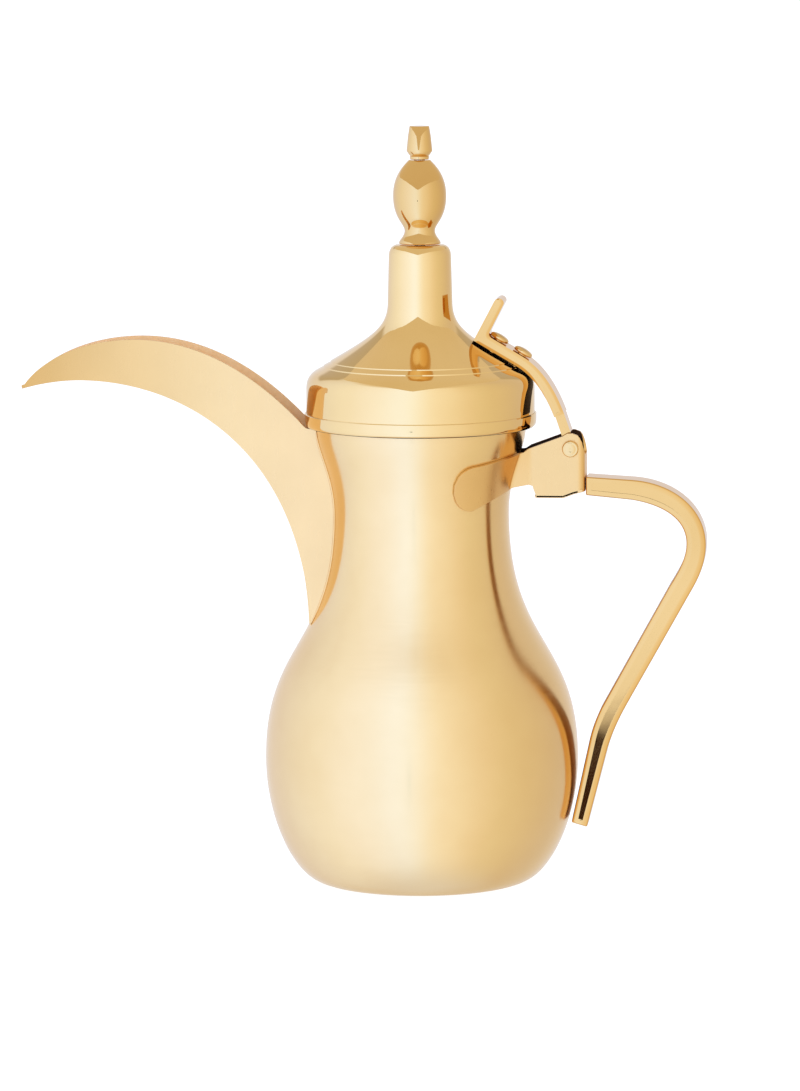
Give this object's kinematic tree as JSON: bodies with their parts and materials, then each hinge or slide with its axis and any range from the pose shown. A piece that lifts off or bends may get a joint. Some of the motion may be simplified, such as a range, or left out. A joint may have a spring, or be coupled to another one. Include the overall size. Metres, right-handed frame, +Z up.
{
  "type": "dallah coffee pot",
  "caption": "Tall waisted metal coffee pot with a crescent pouring beak, a bent bar handle and a hinged domed lid with a thumb lever and a turned finial.",
  "frame": {"origin": "centre of the base on the table", "axes": "+Z up along the pot's axis to the finial, +X towards the handle, -X towards the beak, +Y across the pot"},
  "size_m": [0.2725, 0.1244, 0.3],
  "materials": {
    "gold_polished": "mirror polished stainless steel with a gold-tone coating",
    "gold_satin": "satin brushed stainless steel with a gold-tone coating",
    "plain_steel": "plain steel, out of sight inside the lid"
  },
  "bodies": {
    "pot": {"body_shell": "gold_polished", "base_plate": "gold_polished", "mouth_bead": "gold_polished", "beak_side_near": "gold_satin", "beak_side_far": "gold_satin", "beak_keel": "gold_satin", "hinge_bracket": "gold_satin", "hinge_pin": "gold_polished", "handle_bar": "gold_polished"},
    "lid": {"lid_shell": "gold_polished", "lid_band": "gold_polished", "lid_seat_ring": "gold_polished", "lid_lever": "gold_polished", "lever_rivet_front": "gold_polished", "lever_rivet_rear": "gold_polished", "rivet_burr_front": "plain_steel", "rivet_burr_rear": "plain_steel", "finial_body": "gold_polished", "finial_tip": "gold_polished", "finial_stud": "plain_steel", "finial_washer": "plain_steel", "finial_nut": "plain_steel"}
  },
  "joints": [
    {"name": "lid_hinge", "type": "hinge", "parent": "pot", "child": "lid", "pos_m": [0.06, 0, 0.1736], "axis": [0, 1, 0], "range_deg": [0, 110]}
  ]
}
